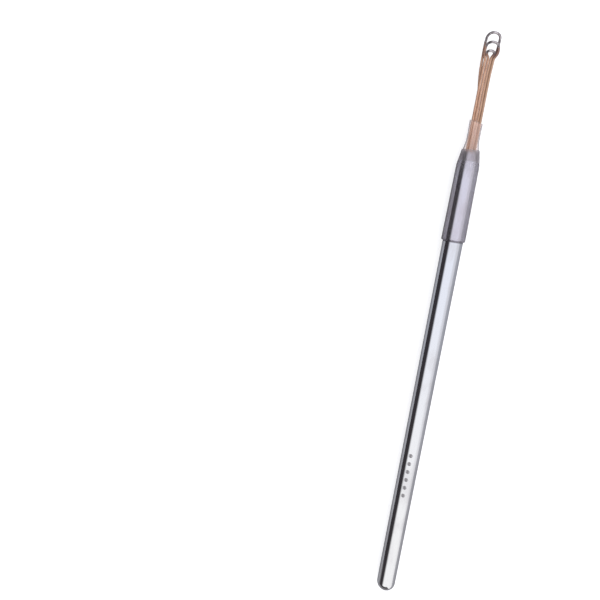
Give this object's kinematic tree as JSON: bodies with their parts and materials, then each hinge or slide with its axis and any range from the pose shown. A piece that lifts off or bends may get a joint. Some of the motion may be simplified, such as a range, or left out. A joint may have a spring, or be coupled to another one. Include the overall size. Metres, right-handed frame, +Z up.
{
  "type": "ear pick",
  "caption": "Slim round metal rod with a soft translucent grip tube, a clear neck sleeve and fine wires that end in a row of upturned loops for lifting out ear wax.",
  "frame": {"origin": "middle of the bounding box on the surface that the pick lies on", "axes": "+X along the rod towards the wire loops, +Z up, the way the loops' arches turn"},
  "size_m": [0.1276, 0.005, 0.0051],
  "materials": {
    "polished_metal": "polished",
    "smoke_tube": "gloss",
    "clear_tube": "gloss",
    "tinted_wire": "drawn",
    "bond": "cured resin"
  },
  "bodies": {
    "root": {"handle_rod": "polished_metal", "grip_tube": "smoke_tube", "neck_sleeve": "clear_tube", "long_loop": "tinted_wire", "middle_loop": "tinted_wire", "short_loop": "tinted_wire", "bond_plug": "bond"}
  },
  "joints": []
}
